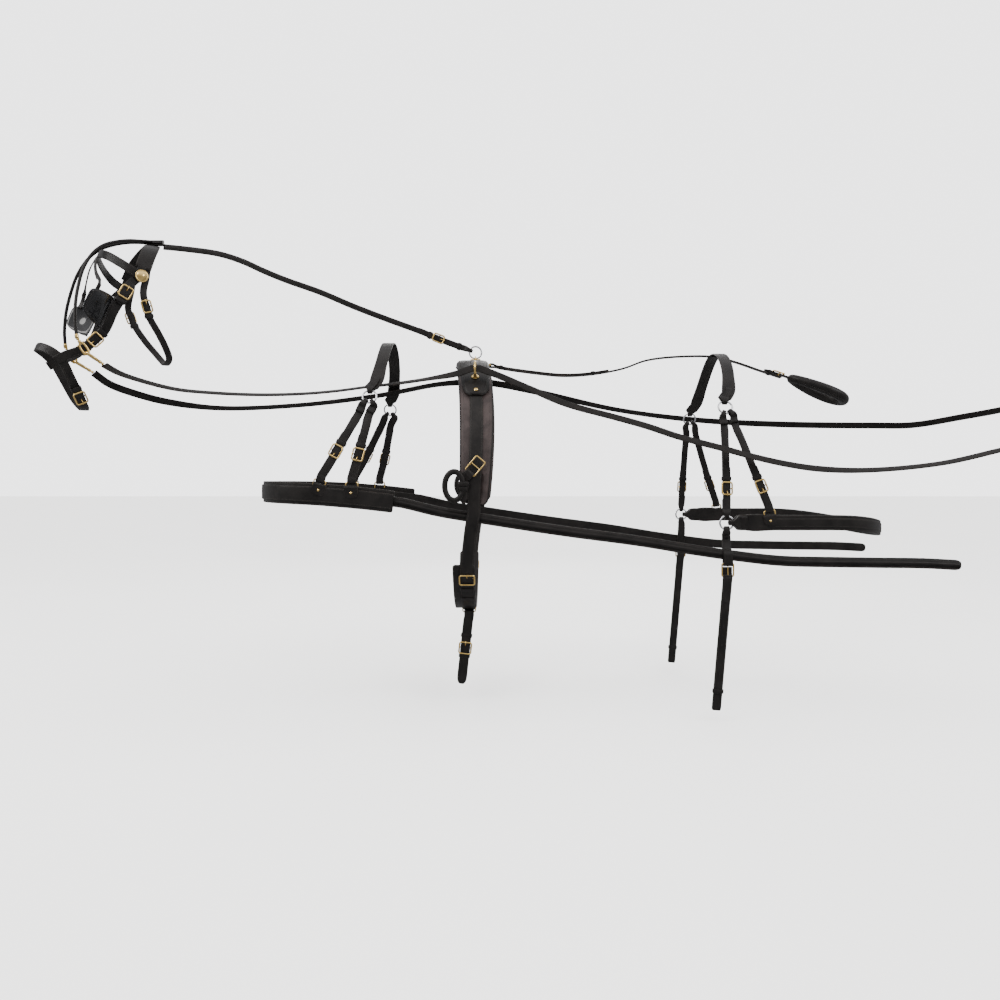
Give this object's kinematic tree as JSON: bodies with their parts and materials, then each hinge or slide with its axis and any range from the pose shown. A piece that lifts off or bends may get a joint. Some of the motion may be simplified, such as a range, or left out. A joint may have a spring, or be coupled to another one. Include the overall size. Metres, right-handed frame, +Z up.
{
  "type": "driving harness",
  "caption": "Leather driving harness for a single horse: blinker bridle with overcheck, breast collar with traces, padded saddle with tug loops, crupper and breeching.",
  "frame": {"origin": "skin of the horse's back under the middle of the saddle, where the harness is held up", "axes": "+X towards the tail along the back, -Y towards the horse's near (left) side, +Z up"},
  "size_m": [2.8739, 0.5916, 1.2951],
  "materials": {
    "harness_leather": "smooth black-brown strap leather, softly worn",
    "panel_leather": "brown-grey saddle panel leather",
    "patent_leather": "glossy patent leather",
    "brass": "polished brass",
    "steel": "bright plated steel"
  },
  "bodies": {
    "harness": {"back_strap": "harness_leather", "backband": "harness_leather", "belly_band": "harness_leather", "bit_strap_far": "harness_leather", "bit_strap_near": "harness_leather", "blinker_far": "patent_leather", "blinker_near": "patent_leather", "breast_collar": "harness_leather", "breeching": "harness_leather", "browband": "harness_leather", "check_hook": "brass", "check_rein": "harness_leather", "check_snap_far": "brass", "check_snap_near": "brass", "cheek_strap_far": "harness_leather", "cheek_strap_near": "harness_leather", "crownpiece": "harness_leather", "crupper_dock": "harness_leather", "front_fork_far": "harness_leather", "front_fork_near": "harness_leather", "girth": "harness_leather", "hip_brace_far": "harness_leather", "hip_brace_near": "harness_leather", "hip_fork_far": "harness_leather", "hip_fork_near": "harness_leather", "hip_strap": "harness_leather", "neck_strap": "harness_leather", "noseband": "harness_leather", "overcheck": "harness_leather", "rear_fork_far": "harness_leather", "rear_fork_near": "harness_leather", "rein_far": "harness_leather", "rein_near": "harness_leather", "rein_snap_far": "brass", "rein_snap_near": "brass", "saddle_panel_far": "panel_leather", "saddle_panel_near": "panel_leather", "saddle_seat": "harness_leather", "terret_far": "brass", "terret_near": "brass", "throatlatch": "harness_leather", "trace_carrier_far": "harness_leather", "trace_carrier_near": "harness_leather", "trace_far": "harness_leather", "trace_near": "harness_leather", "tug_buckle_far": "brass", "tug_buckle_near": "brass", "winker_stay": "harness_leather"},
    "neck_ring_near": {"neck_ring_near": "steel"},
    "neck_ring_far": {"neck_ring_far": "steel"},
    "hip_ring_near": {"hip_ring_near": "steel"},
    "hip_ring_far": {"hip_ring_far": "steel"},
    "breeching_ring_near": {"breeching_ring_near": "steel"},
    "breeching_ring_far": {"breeching_ring_far": "steel"},
    "saddle_ring": {"saddle_ring": "steel"},
    "tug_near": {"tug_near": "harness_leather"},
    "holdback_near": {"holdback_near": "harness_leather"},
    "tug_far": {"tug_far": "harness_leather"},
    "holdback_far": {"holdback_far": "harness_leather"},
    "hanging_strap": {"hanging_strap": "harness_leather"}
  },
  "joints": [
    {"name": "neck_ring_near_turn", "type": "hinge", "parent": "harness", "child": "neck_ring_near", "pos_m": [-0.27209, -0.21246, -0.08256], "axis": [0, -0.9197, 0.3927], "continuous": true},
    {"name": "neck_ring_far_turn", "type": "hinge", "parent": "harness", "child": "neck_ring_far", "pos_m": [-0.27209, 0.21246, -0.08256], "axis": [0, 0.9197, 0.3927], "continuous": true},
    {"name": "hip_ring_near_turn", "type": "hinge", "parent": "harness", "child": "hip_ring_near", "pos_m": [0.67701, -0.21402, -0.11159], "axis": [0, -0.9067, 0.4218], "continuous": true},
    {"name": "hip_ring_far_turn", "type": "hinge", "parent": "harness", "child": "hip_ring_far", "pos_m": [0.67701, 0.21402, -0.11159], "axis": [0, -0.9067, -0.4218], "continuous": true},
    {"name": "breeching_ring_near_turn", "type": "hinge", "parent": "harness", "child": "breeching_ring_near", "pos_m": [0.664, -0.27531, -0.416], "axis": [0, 1, 0], "continuous": true},
    {"name": "breeching_ring_far_turn", "type": "hinge", "parent": "harness", "child": "breeching_ring_far", "pos_m": [0.664, 0.27531, -0.416], "axis": [0, -1, 0], "continuous": true},
    {"name": "saddle_ring_turn", "type": "hinge", "parent": "harness", "child": "saddle_ring", "pos_m": [0.0045, 0, 0.0669], "axis": [0, 1, 0], "continuous": true},
    {"name": "tug_near_swing", "type": "hinge", "parent": "harness", "child": "tug_near", "pos_m": [-0.00248, -0.288, -0.28662], "axis": [-0.766, 0, 0.6428], "range_deg": [0, 70]},
    {"name": "holdback_near_swing", "type": "hinge", "parent": "harness", "child": "holdback_near", "pos_m": [0.664, -0.286, -0.52126], "axis": [-1, 0, 0], "range_deg": [-10, 50]},
    {"name": "tug_far_swing", "type": "hinge", "parent": "harness", "child": "tug_far", "pos_m": [-0.00248, 0.288, -0.28662], "axis": [0.766, 0, -0.6428], "range_deg": [0, 70]},
    {"name": "holdback_far_swing", "type": "hinge", "parent": "harness", "child": "holdback_far", "pos_m": [0.664, 0.286, -0.52126], "axis": [1, 0, 0], "range_deg": [-10, 50]},
    {"name": "hanging_strap_swing", "type": "hinge", "parent": "harness", "child": "hanging_strap", "pos_m": [-0.012, -0.05777, -0.68002], "axis": [1, 0, 0], "range_deg": [-30, 30]}
  ]
}
